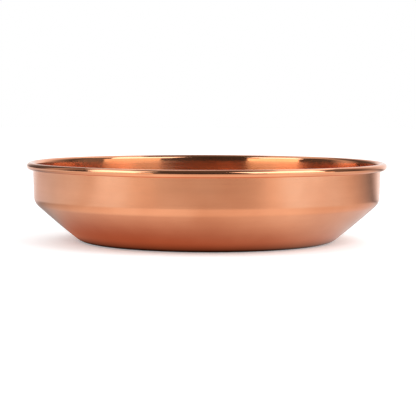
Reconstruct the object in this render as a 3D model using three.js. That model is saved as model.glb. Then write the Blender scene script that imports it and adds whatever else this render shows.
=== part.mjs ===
// Puja plate: a round copper dish with a flat base, a tapering lower side, a nearly upright wall
// and a wired edge. Millimetres, +Z up, the base stands on z = 0 and the axis is Z.
import * as THREE from "three";

// Overall sizes
const RIM_RADIUS = 100; // axis to the outside of the wired edge
const HEIGHT = 43.9; // underside of the base to the top of the wired edge
const SHEET = 0.6; // thickness of the copper sheet

// Base, taper and wall, all on the outer face
const BASE_RADIUS = 70.4; // where base and taper would meet in a sharp corner
const FOOT_BEND = 9; // radius of the rounding from base to taper
const KNEE_HEIGHT = 21.85; // where taper and wall would meet in a sharp corner
const KNEE_BEND = 6.6; // radius of the rounding from taper to wall
const TAPER_BOW = 0.35; // how far the middle of the taper stands proud of a straight cone
const TAPER_BEND = 400; // radius of that soft bulge
const WALL_LEAN = 2.03; // degrees from upright, opening upwards

// Wired edge: the top of the sheet rolled outwards round a wire
const BEAD_DIAMETER = 4; // outside of the roll
const CREVICE = 0.3; // between the raw edge of the sheet and the wall
const WIRE_CLEARANCE = 0.3; // between the wire and the sheet all round it
const WIRE_GAP = 1; // between the two ends of the wire

// Steps of the round stretches
const TURN_STEPS = 72;
const FOOT_STEPS = 4;
const TAPER_STEPS = 2;
const KNEE_STEPS = 5;
const BEAD_STEPS = 16; // in a full turn
const WIRE_SIDES = 10;

const radians = THREE.MathUtils.degToRad;
const point = (r, z) => new THREE.Vector2(r, z);
const heading = (from, to) => Math.atan2(to.y - from.y, to.x - from.x);
const leftOf = (angle) => point(-Math.sin(angle), Math.cos(angle));

// Round stretch of the profile: steps from one heading to another about a centre.
// Its radius is positive where the profile turns left, negative where it turns right.
function arc(centre, radius, from, to, steps) {
  const samples = [];
  for (let i = 0; i <= steps; i++) {
    const angle = from + ((to - from) * i) / steps;
    samples.push({ at: leftOf(angle).multiplyScalar(-radius).add(centre), angle });
  }
  return samples;
}

// Rounding of the corner between two straight runs of the profile
function bend(before, corner, after, size, steps) {
  const from = heading(before, corner);
  const to = heading(corner, after);
  const radius = size * Math.sign(to - from);
  const reach = size * Math.tan(Math.abs(to - from) / 2);
  const run = point(Math.cos(from), Math.sin(from));
  const start = corner.clone().addScaledVector(run, -reach);
  const centre = start.addScaledVector(leftOf(from), radius);
  return arc(centre, radius, from, to, steps);
}

// The roll and its wire share one centre
const beadRadius = BEAD_DIAMETER / 2;
const beadCentre = point(RIM_RADIUS - beadRadius, HEIGHT - beadRadius);
const wireRadius = beadRadius - SHEET - WIRE_CLEARANCE;

// The wall runs straight into the roll, so it follows from the rim: corners of the outer face
const wallHeading = Math.PI / 2 - radians(WALL_LEAN);
const touch = leftOf(wallHeading).multiplyScalar(beadRadius - SHEET).add(beadCentre);
const knee = point(touch.x - (touch.y - KNEE_HEIGHT) * Math.tan(radians(WALL_LEAN)), KNEE_HEIGHT);
const foot = point(BASE_RADIUS, 0);
const centreOfBase = point(0, 0);
const taper = foot.clone().add(knee).multiplyScalar(0.5);
taper.addScaledVector(leftOf(heading(foot, knee)), -TAPER_BOW);

// The raw edge of the roll stops short of the wall by the crevice
const rollTurn = 2 * Math.PI - Math.acos((beadRadius - SHEET - CREVICE) / beadRadius);
const rollEnd = wallHeading - rollTurn;

// The roll is made in stretches that meet at its top and at its outside, where the heading is
// level and straight down, so the rim's full height and width are points of the outline
const level = 0;
const down = -Math.PI / 2;
function roll(from, to) {
  const steps = Math.ceil(((from - to) / (2 * Math.PI)) * BEAD_STEPS);
  return arc(beadCentre, SHEET - beadRadius, from, to, steps);
}

const outerFace = [
  { at: centreOfBase, angle: 0 },
  ...bend(centreOfBase, foot, taper, FOOT_BEND, FOOT_STEPS),
  ...bend(foot, taper, knee, TAPER_BEND, TAPER_STEPS),
  ...bend(taper, knee, touch, KNEE_BEND, KNEE_STEPS),
  ...roll(wallHeading, level),
  ...roll(level, down).slice(1),
  ...roll(down, rollEnd).slice(1),
];
const innerFace = outerFace.map(({ at, angle }) => at.clone().addScaledVector(leftOf(angle), SHEET));
const sheetProfile = [...outerFace.map(({ at }) => at), ...innerFace.reverse()];

function copper(name, colour, roughness) {
  const material = new THREE.MeshStandardMaterial({ color: colour, metalness: 1, roughness });
  material.name = name;
  return material;
}

// Dish: one sheet, turned about the axis
const dishShape = new THREE.LatheGeometry(sheetProfile, TURN_STEPS);
dishShape.rotateX(Math.PI / 2);
const dish = new THREE.Mesh(dishShape, copper("buffed_copper_sheet", 0xc8805c, 0.32));
dish.name = "dish";

// Wire: an open ring inside the roll, its ends a little apart at the back
class OpenRing extends THREE.Curve {
  constructor(radius, height, gap) {
    super();
    this.radius = radius;
    this.height = height;
    this.gapAngle = gap / radius;
  }
  getPoint(t, target = new THREE.Vector3()) {
    const angle = Math.PI / 2 + this.gapAngle / 2 + t * (2 * Math.PI - this.gapAngle);
    return target.set(this.radius * Math.cos(angle), this.radius * Math.sin(angle), this.height);
  }
}

const wireSection = new THREE.Shape();
for (let i = 0; i < WIRE_SIDES; i++) {
  const angle = (i * 2 * Math.PI) / WIRE_SIDES;
  const x = wireRadius * Math.cos(angle);
  const y = wireRadius * Math.sin(angle);
  if (i === 0) wireSection.moveTo(x, y);
  else wireSection.lineTo(x, y);
}
const wireShape = new THREE.ExtrudeGeometry(wireSection, {
  steps: TURN_STEPS,
  bevelEnabled: false,
  extrudePath: new OpenRing(beadCentre.x, beadCentre.y, WIRE_GAP),
});
const wire = new THREE.Mesh(wireShape, copper("drawn_copper_wire", 0xa8623f, 0.45));
wire.name = "rim_wire";

const plate = new THREE.Group();
plate.name = "puja_plate";
plate.add(dish, wire);

export default plate;
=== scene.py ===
# %% [markdown]
# A puja plate, step by step
#
# The plate is a shallow round dish of thin copper. It has a flat base, a lower side that opens like
# a funnel, a wall that stands nearly upright, and an edge that is rolled outwards round a wire.
# A metal spinner makes such a dish on a lathe. A turning disc of sheet is pressed against a former,
# and the buffing wheel then leaves fine lines that all run round the axis.
# This lesson makes the dish the same way: one outline, turned about the axis by Geometry Nodes.

import math

import bpy
from mathutils import Euler, Matrix, Vector


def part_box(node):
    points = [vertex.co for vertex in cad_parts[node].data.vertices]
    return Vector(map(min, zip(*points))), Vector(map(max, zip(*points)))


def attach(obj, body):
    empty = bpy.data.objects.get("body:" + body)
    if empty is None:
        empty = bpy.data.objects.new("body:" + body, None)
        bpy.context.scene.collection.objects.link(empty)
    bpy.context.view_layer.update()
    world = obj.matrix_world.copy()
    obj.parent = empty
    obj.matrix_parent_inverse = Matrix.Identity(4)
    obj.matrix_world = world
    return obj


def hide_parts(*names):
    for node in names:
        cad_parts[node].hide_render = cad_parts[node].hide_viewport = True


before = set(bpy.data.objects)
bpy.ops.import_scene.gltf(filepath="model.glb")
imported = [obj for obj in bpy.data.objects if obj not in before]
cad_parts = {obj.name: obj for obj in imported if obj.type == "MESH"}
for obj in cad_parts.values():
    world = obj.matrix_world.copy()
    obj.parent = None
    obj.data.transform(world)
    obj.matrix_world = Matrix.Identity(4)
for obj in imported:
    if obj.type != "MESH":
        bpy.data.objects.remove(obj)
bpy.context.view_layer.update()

# %% [markdown]
# Sizes
#
# Blender works in metres and a metal worker in millimetres, so one name turns the second into the
# first. The size over the rim and the height come from the frame, because the dressed plate must
# fill the same space. The other sizes are those of the sheet, its bends and its wire.

# %% Sizes of the dish
MM = 0.001
dish_low, dish_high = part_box("dish")
RIM_RADIUS = dish_high.x
HEIGHT = dish_high.z
SHEET = 0.6 * MM
BASE_RADIUS = 70.4 * MM
FOOT_BEND = 9 * MM
KNEE_HEIGHT = 21.85 * MM
KNEE_BEND = 6.6 * MM
TAPER_BOW = 0.35 * MM
TAPER_BEND = 400 * MM
WALL_LEAN = math.radians(2.03)
print("rim radius and height in mm:", round(RIM_RADIUS / MM, 1), round(HEIGHT / MM, 1))

# %% Sizes of the wired edge
BEAD_DIAMETER = 4 * MM
CREVICE = 0.3 * MM
WIRE_CLEARANCE = 0.3 * MM
WIRE_GAP = 1 * MM
bead_radius = BEAD_DIAMETER / 2
bead_centre = Vector((RIM_RADIUS - bead_radius, HEIGHT - bead_radius))
wire_radius = bead_radius - SHEET - WIRE_CLEARANCE
print("wire diameter in mm:", round(2 * wire_radius / MM, 2))

# %% [markdown]
# The camera
#
# The photograph was taken from a little above the rim with a long lens, which keeps the far edge
# nearly as wide as the near one. A long lens far away is therefore the first choice. A short lens
# close by would open the dish up and show its inside.

# %% Camera
CAMERA_DISTANCE = 827.9 * MM
CAMERA_RISE = math.radians(5.484)
CAMERA_TILT_DOWN = math.radians(4.25)
CAMERA_TURN_RIGHT = math.radians(0.049)
CAMERA_ROLL = math.radians(0.186)
SENSOR_WIDTH_MM = 36
LENS_MM = 127.7
camera_data = bpy.data.cameras.new("camera")
camera_data.sensor_width = SENSOR_WIDTH_MM
camera_data.lens = LENS_MM
camera = bpy.data.objects.new("camera", camera_data)
aim = Euler((math.pi / 2 - CAMERA_TILT_DOWN, 0, -CAMERA_TURN_RIGHT)).to_matrix()
aim = aim @ Matrix.Rotation(CAMERA_ROLL, 3, "Z")
camera.matrix_world = aim.to_4x4()
camera.location = (0, -CAMERA_DISTANCE * math.cos(CAMERA_RISE), CAMERA_DISTANCE * math.sin(CAMERA_RISE))
bpy.context.scene.collection.objects.link(camera)
bpy.context.scene.camera = camera
print("camera height in mm:", round(camera.location.z / MM, 1))

# %% [markdown]
# The outline of the sheet
#
# The outer face of the dish, cut through the axis, is a chain of straight runs and round bends.
# Each corner where two runs would meet gets a bend of a stated radius, as on a drawing. The same
# few lines then serve the foot, the knee and the roll. Every point keeps the direction in which the
# outline runs there. The inner face is each point moved to the left by the sheet.

# %% Bends of the outline
def left_of(angle):
    return Vector((-math.sin(angle), math.cos(angle)))


def heading(start, end):
    return math.atan2(end.y - start.y, end.x - start.x)


def arc(centre, radius, start, end, steps):
    """Points of a round stretch with their headings. The radius is negative where it turns right."""
    angles = [start + (end - start) * i / steps for i in range(steps + 1)]
    return [(centre - left_of(angle) * radius, angle) for angle in angles]


def bend(before, corner, after, size, steps):
    """Rounding of a corner between two straight runs."""
    start = heading(before, corner)
    end = heading(corner, after)
    radius = math.copysign(size, end - start)
    reach = size * math.tan(abs(end - start) / 2)
    run = Vector((math.cos(start), math.sin(start)))
    centre = corner - run * reach + left_of(start) * radius
    return arc(centre, radius, start, end, steps)


# %% Corners of the outer face
wall_heading = math.pi / 2 - WALL_LEAN
touch = bead_centre + left_of(wall_heading) * (bead_radius - SHEET)
knee = Vector((touch.x - (touch.y - KNEE_HEIGHT) * math.tan(WALL_LEAN), KNEE_HEIGHT))
foot = Vector((BASE_RADIUS, 0))
base_centre = Vector((0, 0))
taper = (foot + knee) / 2 - left_of(heading(foot, knee)) * TAPER_BOW
print("radius at the knee and under the roll in mm:", round(knee.x / MM, 1), round(touch.x / MM, 1))

# %% The roll and the whole outer face
ROLL_STEPS = 40
roll_turn = 2 * math.pi - math.acos((bead_radius - SHEET - CREVICE) / bead_radius)


def roll(start, end):
    steps = math.ceil((start - end) / (2 * math.pi) * ROLL_STEPS)
    return arc(bead_centre, SHEET - bead_radius, start, end, steps)


outer_face = [(base_centre, 0)]
outer_face += bend(base_centre, foot, taper, FOOT_BEND, 12)
outer_face += bend(foot, taper, knee, TAPER_BEND, 4)
outer_face += bend(taper, knee, touch, KNEE_BEND, 14)
outer_face += roll(wall_heading, 0)
outer_face += roll(0, -math.pi / 2)[1:]
outer_face += roll(-math.pi / 2, wall_heading - roll_turn)[1:]
print("points along the outer face:", len(outer_face))

# %% [markdown]
# Long straight runs
#
# A straight run needs only its two ends to look straight. Sheet metal is never quite true, though,
# and a soft unevenness can only bend the mesh where it has points. So long runs are divided. The
# outline is then closed: along the outer face, over the raw edge and back along the inner face.

# %% Outline with divided runs
LONGEST_RUN = 4 * MM


def divide(face):
    """Adds points to straight stretches that are longer than the longest run allowed."""
    finer = [face[0]]
    for (start, angle), (end, end_angle) in zip(face, face[1:]):
        parts = math.ceil((end - start).length / LONGEST_RUN)
        finer += [(start.lerp(end, i / parts), angle) for i in range(1, parts)]
        finer.append((end, end_angle))
    return finer


outer_face = divide(outer_face)
inner_face = [(point + left_of(angle) * SHEET, angle) for point, angle in outer_face]
outline = [point for point, angle in outer_face + inner_face[::-1]]
print("points in the outline of the sheet:", len(outline))

# %% [markdown]
# A few helpers for node trees
#
# Geometry Nodes and materials are both node trees, so one function serves both. It adds a node,
# sets it and makes its links, which keeps every step readable on a line or two.

# %% Adding a node
def add(tree, kind, inputs=None, **settings):
    """Adds a node with its settings. An input is either a value or the output that feeds it."""
    node = tree.nodes.new(kind)
    for name, value in settings.items():
        setattr(node, name, value)
    for key, value in (inputs or {}).items():
        if isinstance(value, bpy.types.NodeSocket):
            tree.links.new(value, node.inputs[key])
        else:
            node.inputs[key].default_value = value
    return node


# %% Starting a geometry tree and turning its result into a plain mesh
def geometry_tree(name, sockets):
    """A new tree with named inputs, given as pairs of name and socket type, and one geometry output."""
    tree = bpy.data.node_groups.new(name, "GeometryNodeTree")
    for label, socket_type in [("Geometry", "NodeSocketGeometry")] + sockets:
        tree.interface.new_socket(label, in_out="INPUT", socket_type=socket_type)
    tree.interface.new_socket("Geometry", in_out="OUTPUT", socket_type="NodeSocketGeometry")
    return tree, add(tree, "NodeGroupInput").outputs


def finished_mesh(name, start_mesh, tree, values):
    """Runs a tree on a start mesh and keeps only the plain mesh that comes out."""
    piece = bpy.data.objects.new(name, start_mesh)
    bpy.context.scene.collection.objects.link(piece)
    modifier = piece.modifiers.new("shape", "NODES")
    modifier.node_group = tree
    for socket in tree.interface.items_tree:
        if socket.in_out == "INPUT" and socket.name in values:
            modifier[socket.identifier] = values[socket.name]
    evaluated = piece.evaluated_get(bpy.context.evaluated_depsgraph_get())
    mesh = bpy.data.meshes.new_from_object(evaluated)
    piece.modifiers.clear()
    piece.data = mesh
    mesh.name = name
    return piece


# %% [markdown]
# Turning the sheet
#
# A lathe turns a flat outline into a round body. The same can be done with a modifier called Screw,
# or by hand with rings of points. Here a grid does it, because that shows what turning is. Each row
# of the grid takes the radius and height of one point of the outline, and each column takes an
# angle. The last column lies on the first, and the rows on the axis shrink to a point, so both are
# merged, which closes the sheet. A very soft noise then moves the sheet by a tenth of a millimetre,
# as hand finishing does, but leaves the base flat so that it stands firmly.

# %% Tree that turns an outline about the axis
turning, given = geometry_tree("turned_sheet", [
    ("Steps Around", "NodeSocketInt"),
    ("Unevenness", "NodeSocketFloat"),
    ("Uneven Length", "NodeSocketFloat"),
    ("Firm Height", "NodeSocketFloat"),
    ("Seed", "NodeSocketInt"),
    ("Finish", "NodeSocketMaterial"),
])
count = add(turning, "GeometryNodeAttributeDomainSize", {"Geometry": given["Geometry"]}, component="MESH")
columns = add(turning, "ShaderNodeMath", {0: given["Steps Around"], 1: 1.0}, operation="ADD")
grid = add(turning, "GeometryNodeMeshGrid", {
    "Vertices X": columns.outputs[0],
    "Vertices Y": count.outputs["Point Count"],
})
index = add(turning, "GeometryNodeInputIndex").outputs[0]
row_share = add(turning, "ShaderNodeMath", {0: index, 1: count.outputs["Point Count"]}, operation="DIVIDE")
column = add(turning, "ShaderNodeMath", {0: row_share.outputs[0]}, operation="FLOOR")
row = add(turning, "ShaderNodeMath", {0: index, 1: count.outputs["Point Count"]}, operation="MODULO")
place = add(turning, "GeometryNodeInputPosition").outputs[0]
sample = add(turning, "GeometryNodeSampleIndex", {
    "Geometry": given["Geometry"],
    "Value": place,
    "Index": row.outputs[0],
}, data_type="FLOAT_VECTOR")
turn = add(turning, "ShaderNodeMath", {0: column.outputs[0], 1: given["Steps Around"]}, operation="DIVIDE")
angle = add(turning, "ShaderNodeMath", {0: turn.outputs[0], 1: 2 * math.pi}, operation="MULTIPLY")
spun = add(turning, "ShaderNodeVectorRotate", {
    "Vector": sample.outputs["Value"],
    "Angle": angle.outputs[0],
}, rotation_type="Z_AXIS")
turned = add(turning, "GeometryNodeSetPosition", {
    "Geometry": grid.outputs["Mesh"],
    "Position": spun.outputs[0],
})
closed = add(turning, "GeometryNodeMergeByDistance", {"Geometry": turned.outputs[0], "Distance": 1e-6})

# %% Soft unevenness of the turned sheet
per_metre = add(turning, "ShaderNodeMath", {0: 1.0, 1: given["Uneven Length"]}, operation="DIVIDE")
wave = add(turning, "ShaderNodeTexNoise", {
    "Vector": place,
    "W": given["Seed"],
    "Scale": per_metre.outputs[0],
    "Detail": 0.0,
}, noise_dimensions="4D")
centred = add(turning, "ShaderNodeVectorMath", {
    0: wave.outputs["Color"],
    1: (0.5, 0.5, 0.5),
}, operation="SUBTRACT")
height = add(turning, "ShaderNodeSeparateXYZ", {0: place}).outputs["Z"]
free = add(turning, "ShaderNodeMapRange", {
    "Value": height,
    "From Max": given["Firm Height"],
}, interpolation_type="SMOOTHSTEP")
swing = add(turning, "ShaderNodeMath", {0: free.outputs[0], 1: given["Unevenness"]}, operation="MULTIPLY")
offset = add(turning, "ShaderNodeVectorMath", {
    0: centred.outputs[0],
    "Scale": swing.outputs[0],
}, operation="SCALE")
uneven = add(turning, "GeometryNodeSetPosition", {
    "Geometry": closed.outputs[0],
    "Offset": offset.outputs[0],
})

# %% Smooth faces, sharp raw edge, finish
SHARP = math.radians(50)
smooth = add(turning, "GeometryNodeSetShadeSmooth", {"Geometry": uneven.outputs[0], "Shade Smooth": True})
fold = add(turning, "GeometryNodeInputMeshEdgeAngle")
soft = add(turning, "ShaderNodeMath", {0: fold.outputs["Unsigned Angle"], 1: SHARP}, operation="LESS_THAN")
crisp = add(turning, "GeometryNodeSetShadeSmooth", {
    "Geometry": smooth.outputs[0],
    "Shade Smooth": soft.outputs[0],
}, domain="EDGE")
real = add(turning, "GeometryNodeRealizeInstances", {"Geometry": crisp.outputs[0]})
dressed = add(turning, "GeometryNodeSetMaterial", {
    "Geometry": real.outputs[0],
    "Material": given["Finish"],
})
add(turning, "NodeGroupOutput", {"Geometry": dressed.outputs[0]})
print("nodes in the turning tree:", len(turning.nodes))

# %% [markdown]
# The wire in the edge
#
# Such a full, round edge is closed over a soft copper wire, which makes a thin sheet stiff and safe
# to hold. Only a thread of it can be seen, from below, through the crevice behind the roll. A curve
# swept by a circle is the plain way to make wire. The arc leaves a small gap, where the two ends of
# the real wire are butted, and the ends are filled so that the wire is a closed body.

# %% Tree that lays an open ring of wire
winding, given = geometry_tree("open_ring_of_wire", [
    ("Ring Radius", "NodeSocketFloat"),
    ("Ring Height", "NodeSocketFloat"),
    ("Wire Radius", "NodeSocketFloat"),
    ("Gap", "NodeSocketFloat"),
    ("Steps Around", "NodeSocketInt"),
    ("Sides", "NodeSocketInt"),
    ("Finish", "NodeSocketMaterial"),
])
gap = add(winding, "ShaderNodeMath", {0: given["Gap"], 1: given["Ring Radius"]}, operation="DIVIDE")
half_gap = add(winding, "ShaderNodeMath", {0: gap.outputs[0], 1: 0.5}, operation="MULTIPLY")
start = add(winding, "ShaderNodeMath", {0: half_gap.outputs[0], 1: math.pi / 2})
sweep = add(winding, "ShaderNodeMath", {0: 2 * math.pi, 1: gap.outputs[0]}, operation="SUBTRACT")
ring = add(winding, "GeometryNodeCurveArc", {
    "Resolution": given["Steps Around"],
    "Radius": given["Ring Radius"],
    "Start Angle": start.outputs[0],
    "Sweep Angle": sweep.outputs[0],
})
section = add(winding, "GeometryNodeCurvePrimitiveCircle", {
    "Resolution": given["Sides"],
    "Radius": given["Wire Radius"],
})
swept = add(winding, "GeometryNodeCurveToMesh", {
    "Curve": ring.outputs["Curve"],
    "Profile Curve": section.outputs["Curve"],
    "Fill Caps": True,
})
lift = add(winding, "ShaderNodeCombineXYZ", {"Z": given["Ring Height"]})
raised = add(winding, "GeometryNodeSetPosition", {"Geometry": swept.outputs[0], "Offset": lift.outputs[0]})
real = add(winding, "GeometryNodeRealizeInstances", {"Geometry": raised.outputs[0]})
dressed = add(winding, "GeometryNodeSetMaterial", {
    "Geometry": real.outputs[0],
    "Material": given["Finish"],
})
add(winding, "NodeGroupOutput", {"Geometry": dressed.outputs[0]})
print("nodes in the wire tree:", len(winding.nodes))

# %% [markdown]
# Colours
#
# A colour given in hex is an sRGB value, while a shader counts light in linear steps. One function
# turns the first into the second.

# %% Linear colour from a hex value
def linear(hex_colour):
    channels = [int(hex_colour[i:i + 2], 16) / 255 for i in (1, 3, 5)]
    return [c / 12.92 if c <= 0.04045 else ((c + 0.055) / 1.055) ** 2.4 for c in channels] + [1]


# %% [markdown]
# Buffed copper sheet
#
# Copper is a metal with a warm orange reflection. This sheet has the satin shine of buffing with a
# fibre wheel on the lathe, not that of a mirror polish. The buffing lines run round the axis and
# spread each reflection up and down, but keep it narrow from side to side. That gives the upright
# bands of light and shade on the wall. The shader does this with Anisotropic, and a tangent that
# runs round the axis turns the spread the right way. The lines themselves are a noise that is
# stretched round the axis. Real buffing lines are finer than a tenth of a millimetre, which would
# not show, so the pattern is drawn about a millimetre wide. It moves the roughness and a faint
# bump. Two wider patterns give the handling and the age of the surface: broad bands from the
# turning, and soft patches where the copper has begun to darken. The roll is smoother than the
# wall, because the tool that closes it burnishes it.

# %% Directions on a turned surface
def turned_coordinates(tree):
    """Vector out from the axis with length 1, and the place in the outline as radius, 0, height."""
    here = add(tree, "ShaderNodeTexCoord").outputs["Object"]
    parts = add(tree, "ShaderNodeSeparateXYZ", {0: here}).outputs
    flat = add(tree, "ShaderNodeCombineXYZ", {"X": parts["X"], "Y": parts["Y"]}).outputs[0]
    radius = add(tree, "ShaderNodeVectorMath", {0: flat}, operation="LENGTH").outputs["Value"]
    outward = add(tree, "ShaderNodeVectorMath", {0: flat}, operation="NORMALIZE").outputs["Vector"]
    section = add(tree, "ShaderNodeCombineXYZ", {"X": radius, "Z": parts["Z"]}).outputs[0]
    return here, outward, section


def lines_around(tree, outward, section, width, turn_share, detail):
    """Noise drawn out round the axis. A line is width metres across, longer with a larger turn share."""
    along = add(tree, "ShaderNodeVectorMath", {0: outward, "Scale": 1 / turn_share}, operation="SCALE")
    across = add(tree, "ShaderNodeVectorMath", {
        0: section,
        1: (1 / width, 0, 1 / width),
    }, operation="DOT_PRODUCT")
    lift = add(tree, "ShaderNodeCombineXYZ", {"Z": across.outputs["Value"]})
    place = add(tree, "ShaderNodeVectorMath", {0: along.outputs[0], 1: lift.outputs[0]})
    noise = add(tree, "ShaderNodeTexNoise", {"Vector": place.outputs[0], "Scale": 1.0, "Detail": detail})
    return noise.outputs["Fac"]


# %% Colour of the copper sheet
FRESH_COPPER = "#e8a078"
AGED_COPPER = "#dc8f67"
TURNING_WIDTH = 7 * MM
PATCH_LENGTH = 28 * MM

copper_sheet = bpy.data.materials.new("buffed_copper_sheet")
copper_sheet.use_nodes = True
tree = copper_sheet.node_tree
tree.nodes.clear()
here, outward, section = turned_coordinates(tree)
turning_bands = lines_around(tree, outward, section, TURNING_WIDTH, turn_share=3.0, detail=1.0)
patches = add(tree, "ShaderNodeTexNoise", {
    "Vector": here,
    "Scale": 1 / PATCH_LENGTH,
    "Detail": 3.0,
    "Roughness": 0.45,
}).outputs["Fac"]
aged = add(tree, "ShaderNodeMapRange", {"Value": patches, "From Min": 0.35, "From Max": 0.75}).outputs[0]
fresh_or_aged = add(tree, "ShaderNodeMix", {
    "Factor": aged,
    "A": linear(FRESH_COPPER),
    "B": linear(AGED_COPPER),
}, data_type="RGBA").outputs["Result"]
shade = add(tree, "ShaderNodeMapRange", {"Value": turning_bands, "To Min": 0.96, "To Max": 1.04}).outputs[0]
colour = add(tree, "ShaderNodeVectorMath", {0: fresh_or_aged, "Scale": shade}, operation="SCALE")

# %% Roughness of the copper sheet
BUFFING_WIDTH = 1.1 * MM
SATIN = 0.19
BURNISHED = 0.1

buffing = lines_around(tree, outward, section, BUFFING_WIDTH, turn_share=0.7, detail=3.0)
from_roll = add(tree, "ShaderNodeVectorMath", {
    0: section,
    1: (bead_centre.x, 0, bead_centre.y),
}, operation="DISTANCE")
satin = add(tree, "ShaderNodeMapRange", {
    "Value": from_roll.outputs["Value"],
    "From Min": bead_radius + 0.1 * MM,
    "From Max": bead_radius + 1 * MM,
    "To Min": BURNISHED,
    "To Max": SATIN,
}, interpolation_type="SMOOTHSTEP")
grain = add(tree, "ShaderNodeMapRange", {
    "Value": buffing,
    "From Min": 0.3,
    "From Max": 0.7,
    "To Min": 0.88,
    "To Max": 1.12,
})
roughness = add(tree, "ShaderNodeMath", {0: satin.outputs[0], 1: grain.outputs[0]}, operation="MULTIPLY")

# %% Metal of the copper sheet
BUFFING_DEPTH = 0.006 * MM

bump = add(tree, "ShaderNodeBump", {"Height": buffing, "Strength": 1.0, "Distance": BUFFING_DEPTH})
tangent = add(tree, "ShaderNodeVectorMath", {0: (0, 0, 1), 1: outward}, operation="CROSS_PRODUCT")
shader = add(tree, "ShaderNodeBsdfPrincipled", {
    "Base Color": colour.outputs[0],
    "Metallic": 1.0,
    "Roughness": roughness.outputs[0],
    "Anisotropic": 0.6,
    "Anisotropic Rotation": 0.25,
    "Normal": bump.outputs[0],
    "Tangent": tangent.outputs[0],
})
add(tree, "ShaderNodeOutputMaterial", {"Surface": shader.outputs[0]})
print("nodes in the copper sheet material:", len(tree.nodes))

# %% [markdown]
# Drawn copper wire
#
# Wire is pulled through a die, which leaves it dull and slightly streaked along its length. It was
# never buffed, so it is a little darker and redder than the sheet round it.

# %% Copper wire material
LIGHT_WIRE = "#c77f5e"
DARK_WIRE = "#a8603f"
STREAK_WIDTH = 0.3 * MM

copper_wire = bpy.data.materials.new("drawn_copper_wire")
copper_wire.use_nodes = True
tree = copper_wire.node_tree
tree.nodes.clear()
here, outward, section = turned_coordinates(tree)
streaks = lines_around(tree, outward, section, STREAK_WIDTH, turn_share=0.5, detail=2.0)
colour = add(tree, "ShaderNodeMix", {
    "Factor": streaks,
    "A": linear(LIGHT_WIRE),
    "B": linear(DARK_WIRE),
}, data_type="RGBA")
roughness = add(tree, "ShaderNodeMapRange", {"Value": streaks, "To Min": 0.38, "To Max": 0.54})
shader = add(tree, "ShaderNodeBsdfPrincipled", {
    "Base Color": colour.outputs["Result"],
    "Metallic": 1.0,
    "Roughness": roughness.outputs[0],
})
add(tree, "ShaderNodeOutputMaterial", {"Surface": shader.outputs[0]})
print("nodes in the copper wire material:", len(tree.nodes))

# %% [markdown]
# The dish
#
# The tree now turns the outline. The start mesh is nothing but the points of the outline, in the
# plane of X and Z, in order. The signed volume tells whether the faces point outwards: it is the
# volume of the metal if they do, and negative if they don't.

# %% The spun dish
def signed_volume(mesh):
    mesh.calc_loop_triangles()
    corners = [vertex.co for vertex in mesh.vertices]
    total = 0
    for triangle in mesh.loop_triangles:
        a, b, c = (corners[i] for i in triangle.vertices)
        total += a.dot(b.cross(c)) / 6
    return total


outline_mesh = bpy.data.meshes.new("outline")
outline_mesh.from_pydata([(point.x, 0, point.y) for point in outline], [], [])
dish = finished_mesh("spun_dish", outline_mesh, turning, {
    "Steps Around": 320,
    "Unevenness": 0.25 * MM,
    "Uneven Length": 55 * MM,
    "Firm Height": 8 * MM,
    "Seed": 3,
    "Finish": copper_sheet,
})
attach(dish, "root")
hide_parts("dish")
print("dish: faces", len(dish.data.polygons), "metal in cm3", round(signed_volume(dish.data) * 1e6, 2))

# %% [markdown]
# The wire
#
# The wire sits in the middle of the roll, so it takes its ring from the roll's own centre.

# %% The edge wire
wire = finished_mesh("edge_wire", bpy.data.meshes.new("nothing"), winding, {
    "Ring Radius": bead_centre.x,
    "Ring Height": bead_centre.y,
    "Wire Radius": wire_radius,
    "Gap": WIRE_GAP,
    "Steps Around": 240,
    "Sides": 16,
    "Finish": copper_wire,
})
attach(wire, "root")
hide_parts("rim_wire")
print("wire: faces", len(wire.data.polygons), "metal in cm3", round(signed_volume(wire.data) * 1e6, 2))

# %% [markdown]
# Levels round the plate
#
# Shiny metal shows its surroundings, so a plate is lit by what stands round it: white paper and
# cloth at the sides, a pale backdrop behind and a dim opening in front, where the camera looks in.
# Ground and surroundings both need such levels, so one helper serves both. It turns the direction
# round the axis into a place on a colour ramp, and a short list says how bright each direction is.
# 0 degrees is the front, and negative degrees are at the left. The white is slightly warm, or cool
# where it stands for light that comes from a softbox.

# %% A colour that follows the direction round the plate
PLAIN = "#fffaf8"
COOL = "#e3f1ff"


def round_the_plate(tree, parts, levels):
    """A colour for each direction, from a list of degrees, level and colour."""
    front = add(tree, "ShaderNodeMath", {0: parts["Y"], 1: -1.0}, operation="MULTIPLY")
    angle = add(tree, "ShaderNodeMath", {0: parts["X"], 1: front.outputs[0]}, operation="ARCTAN2")
    share = add(tree, "ShaderNodeMapRange", {
        "Value": angle.outputs[0],
        "From Min": -math.pi,
        "From Max": math.pi,
    })
    node = add(tree, "ShaderNodeValToRGB", {"Fac": share.outputs[0]})
    stops = node.color_ramp.elements
    while len(stops) < len(levels):
        stops.new(0.5)
    for stop, (degrees, level, colour) in zip(stops, levels):
        stop.position = (degrees + 180) / 360
    for stop, (degrees, level, colour) in zip(stops, levels):
        stop.color = [level * channel for channel in linear(colour)[:3]] + [1]
    return node.outputs["Color"]
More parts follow.
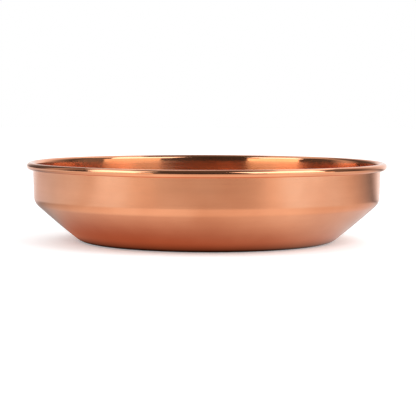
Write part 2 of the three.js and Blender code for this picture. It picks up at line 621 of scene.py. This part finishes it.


# %% [markdown]
# Ground
#
# The plate stands on a plain white ground that runs out of sight, and a photographer lets it burn
# out to white. Here it has a matt white paint, which takes the shadow of the plate, and a little
# light of its own that only the camera sees, which lifts it to white. Far away, where the lamps
# don't reach, it needs more of that. Beside the foot it needs less, in a ring set a little to the
# left and front, so that the real shadow shows there, deepened by a painted shade. In the metal the
# ground is plain light instead, with levels that follow the direction and the distance. They stand
# for the white sheets that a photographer lays round a shiny dish, and a level above 1 for a sheet
# that a softbox shines on. Next to the foot this light is a painted shade, tinted as if by copper
# light bounced off the plate, and right under the foot it is a painted black shadow. A little
# farther out a painted brighter level lifts the ground that the knee shows.

# %% Levels of the ground in the metal
NEAR_GROUND = [
    (-180, 0.8, PLAIN), (-110, 0.3, PLAIN), (-63, 0.75, PLAIN), (-42, 0.95, PLAIN), (-18, 1.0, PLAIN),
    (0, 0.9, PLAIN), (33, 1.0, PLAIN), (48, 0.9, PLAIN), (90, 0.75, PLAIN), (130, 0.6, PLAIN),
    (180, 0.8, PLAIN),
]
FAR_GROUND = [
    (-180, 1.3, PLAIN), (-135, 0.8, PLAIN), (-107, 1.05, COOL), (-88, 1.3, COOL), (-69, 0.95, PLAIN),
    (-63, 1.5, COOL), (-50, 1.4, COOL), (-40, 0.9, PLAIN), (0, 0.8, PLAIN), (22, 0.8, PLAIN),
    (38, 1.05, PLAIN), (46, 1.5, COOL), (70, 1.45, COOL), (93, 0.95, PLAIN), (114, 0.5, PLAIN),
    (126, 0.2, PLAIN), (145, 1.1, PLAIN), (180, 1.3, PLAIN),
]
print("levels in the near and the far list:", len(NEAR_GROUND), len(FAR_GROUND))

# %% Places and distances on the ground
ground_paint = bpy.data.materials.new("matt_white_ground")
ground_paint.use_nodes = True
tree = ground_paint.node_tree
tree.nodes.clear()
here = add(tree, "ShaderNodeTexCoord").outputs["Object"]
parts = add(tree, "ShaderNodeSeparateXYZ", {0: here}).outputs


def distance_from(middle):
    """Distance on the ground from a middle given in metres."""
    return add(tree, "ShaderNodeVectorMath", {0: here, 1: middle}, operation="DISTANCE").outputs["Value"]


def rise_between(distance, limits, start=0.0, end=1.0):
    """A level that goes softly from start to end between two distances."""
    low, high = limits
    return add(tree, "ShaderNodeMapRange", {
        "Value": distance,
        "From Min": low,
        "From Max": high,
        "To Min": start,
        "To Max": end,
    }, interpolation_type="SMOOTHSTEP").outputs[0]


# %% The ground as the metal shows it
# Each pair holds the two distances between which one level gives way to the next.
UNDER_FOOT = (69 * MM, 76 * MM)
BESIDE_FOOT = (68 * MM, 93 * MM)
BEFORE_KNEE = (88 * MM, 108 * MM)
NEAR_TO_FAR = (150 * MM, 240 * MM)
KNEE_BRIGHTER = 1.18
# Painted shade beside the foot, tinted as if by copper light bounced off the plate.
PAINTED_COPPER_SHADE = "#b67a63"

from_axis = distance_from((0, 0, 0))
# Middle of the painted shadow, set a little to the left and front of the axis.
from_shadow = distance_from(Vector((-7, -4, 0)) * MM)
# Painted black shadow right under the foot, giving way to the painted copper shade.
painted_foot_shadow = add(tree, "ShaderNodeMix", {
    "Factor": rise_between(from_axis, UNDER_FOOT),
    "A": (0, 0, 0, 1),
    "B": linear(PAINTED_COPPER_SHADE),
}, data_type="RGBA").outputs["Result"]
# The painted shade gives way to the near levels of light.
shaded_near_ground = add(tree, "ShaderNodeMix", {
    "Factor": rise_between(from_shadow, BESIDE_FOOT),
    "A": painted_foot_shadow,
    "B": round_the_plate(tree, parts, NEAR_GROUND),
}, data_type="RGBA").outputs["Result"]
# Painted brighter ground farther from the foot, where the knee looks.
before_knee = add(tree, "ShaderNodeVectorMath", {
    0: shaded_near_ground,
    "Scale": rise_between(from_axis, BEFORE_KNEE, start=1.0, end=KNEE_BRIGHTER),
}, operation="SCALE")
mirrored = add(tree, "ShaderNodeMix", {
    "Factor": rise_between(from_axis, NEAR_TO_FAR),
    "A": before_knee.outputs[0],
    "B": round_the_plate(tree, parts, FAR_GROUND),
}, data_type="RGBA").outputs["Result"]
in_mirror = add(tree, "ShaderNodeEmission", {"Color": mirrored})

# %% The ground as the camera sees it
# The camera's glow fades towards the foot in a ring set a little to the left and front: a painted shade on
# top of the real shadow of the plate.
SHADE_EDGE = (58 * MM, 108 * MM)
LAMPS_FADE = (150 * MM, 1200 * MM)
LIGHT_IN_SHADE = 0.44
LIGHT_NEARBY = 0.55
PAINT_COLOUR = "#f2f0ef"

from_shade = distance_from(Vector((-3, -5, 0)) * MM)
looked_at = add(tree, "ShaderNodeMath", {
    0: rise_between(from_shade, SHADE_EDGE, start=LIGHT_IN_SHADE),
    1: rise_between(from_axis, LAMPS_FADE, start=LIGHT_NEARBY),
}, operation="MULTIPLY").outputs[0]
rays = add(tree, "ShaderNodeLightPath").outputs
glow = add(tree, "ShaderNodeMath", {0: looked_at, 1: rays["Is Camera Ray"]}, operation="MULTIPLY")
matt = add(tree, "ShaderNodeBsdfDiffuse", {"Color": linear(PAINT_COLOUR)})
light = add(tree, "ShaderNodeEmission", {"Strength": glow.outputs[0]})
to_eye = add(tree, "ShaderNodeAddShader", {0: matt.outputs[0], 1: light.outputs[0]})
by_mirror = add(tree, "ShaderNodeMath", {0: rays["Is Glossy Ray"], 1: rays["Is Transmission Ray"]})
ground_shader = add(tree, "ShaderNodeMixShader", {
    0: by_mirror.outputs[0],
    1: to_eye.outputs[0],
    2: in_mirror.outputs[0],
})
add(tree, "ShaderNodeOutputMaterial", {"Surface": ground_shader.outputs[0]})
print("nodes in the paint of the ground:", len(tree.nodes))

# %% Sheet of ground
GROUND_SIZE = 6.0

ground_mesh = bpy.data.meshes.new("ground")
half = GROUND_SIZE / 2
corners = [(-half, -half, 0), (half, -half, 0), (half, half, 0), (-half, half, 0)]
ground_mesh.from_pydata(corners, [], [(0, 1, 2, 3)])
ground_mesh.materials.append(ground_paint)
ground = bpy.data.objects.new("ground", ground_mesh)
bpy.context.scene.collection.objects.link(ground)
print("ground in metres:", GROUND_SIZE, "by", GROUND_SIZE)

# %% [markdown]
# Surroundings
#
# The world plays the room. It is plain white for the camera, and the metal shows that white too
# where the backdrop stands, straight behind the plate. Elsewhere its brightness follows the
# direction: pale towards the back, with one pale strip at the left, and dim at both sides and in
# front. The roof is dim too, so that the lamps stand out in the metal. A direction has length 1, so
# its Z is near 1 overhead, and its Y is near 1 straight behind.

# %% World as a light tent
TENT = [
    (-180, 1.1, PLAIN), (-165, 0.6, PLAIN), (-150, 0.15, PLAIN), (-130, 0.1, PLAIN), (-112, 0.7, PLAIN),
    (-97, 0.12, PLAIN), (-40, 0.06, PLAIN), (0, 0.06, PLAIN), (25, 0.1, PLAIN), (95, 0.25, PLAIN),
    (110, 0.1, PLAIN), (125, 0.35, PLAIN), (140, 0.8, PLAIN), (152, 1.1, PLAIN), (180, 1.1, PLAIN),
]
ROOF = 0.15
OVERHEAD = (0.6, 0.9)

world = bpy.data.worlds.new("light_tent")
bpy.context.scene.world = world
world.use_nodes = True
tree = world.node_tree
tree.nodes.clear()
direction = add(tree, "ShaderNodeTexCoord").outputs["Generated"]
parts = add(tree, "ShaderNodeSeparateXYZ", {0: direction}).outputs
overhead = add(tree, "ShaderNodeMapRange", {
    "Value": parts["Z"],
    "From Min": OVERHEAD[0],
    "From Max": OVERHEAD[1],
})
tent = add(tree, "ShaderNodeMix", {
    "Factor": overhead.outputs[0],
    "A": round_the_plate(tree, parts, TENT),
    "B": [ROOF] * 3 + [1],
}, data_type="RGBA")

# %% White backdrop
BEHIND = (0.93, 0.99)

behind = add(tree, "ShaderNodeMapRange", {
    "Value": parts["Y"],
    "From Min": BEHIND[0],
    "From Max": BEHIND[1],
})
rays = add(tree, "ShaderNodeLightPath").outputs
by_mirror = add(tree, "ShaderNodeMath", {0: rays["Is Glossy Ray"], 1: rays["Is Transmission Ray"]})
shows_backdrop = add(tree, "ShaderNodeMath", {
    0: by_mirror.outputs[0],
    1: behind.outputs[0],
    2: rays["Is Camera Ray"],
}, operation="MULTIPLY_ADD")
shown = add(tree, "ShaderNodeMix", {
    "Factor": shows_backdrop.outputs[0],
    "A": tent.outputs["Result"],
    "B": (1, 1, 1, 1),
}, data_type="RGBA")
background = add(tree, "ShaderNodeBackground", {"Color": shown.outputs["Result"]})
add(tree, "ShaderNodeOutputWorld", {"Surface": background.outputs[0]})
print("levels in the tent:", len(TENT))

# %% [markdown]
# Softboxes
#
# Two large softboxes stand in front, left and right, and draw the white lines on the roll. A low
# strip under each one lights the inside of the far wall, and is a little warmer. Two more hang high
# up at the sides, a little behind the plate, and light the roll where it turns away.

# %% Lamps
LAMP_DISTANCE = 0.8
DAYLIGHT = "#eaf7ff"
WARM = "#ffecd0"


def softbox(name, level, azimuth, elevation, wide, tall, colour=DAYLIGHT):
    """A soft lamp that faces the plate, placed and sized by angles. The level is its brightness."""
    data = bpy.data.lights.new(name, "AREA")
    data.shape = "RECTANGLE"
    data.size = 2 * LAMP_DISTANCE * math.tan(math.radians(wide / 2))
    data.size_y = 2 * LAMP_DISTANCE * math.tan(math.radians(tall / 2))
    data.energy = level * math.pi * data.size * data.size_y
    data.color = linear(colour)[:3]
    lamp = bpy.data.objects.new(name, data)
    turn = math.radians(azimuth)
    rise = math.radians(elevation)
    reach = LAMP_DISTANCE * math.cos(rise)
    lamp.location = (reach * math.sin(turn), -reach * math.cos(turn), LAMP_DISTANCE * math.sin(rise))
    lamp.rotation_euler = (-lamp.location).to_track_quat("-Z", "Y").to_euler()
    bpy.context.scene.collection.objects.link(lamp)
    print(name, "in metres:", round(data.size, 2), "by", round(data.size_y, 2))


softbox("softbox_left", 3.2, -59, 33, 34, 36)
softbox("softbox_right", 3.0, 51, 35, 48, 38)
softbox("low_left", 2.2, -51, 8, 40, 9, WARM)
softbox("low_right", 1.3, 58, 9, 46, 12, WARM)
softbox("top_left", 0.9, -125, 60, 60, 22)
softbox("top_right", 1.1, 115, 58, 60, 22)

# %% [markdown]
# View
#
# Standard shows each colour as it was written.

# %% View transform and the end
bpy.context.scene.view_settings.view_transform = "Standard"
bpy.context.view_layer.update()
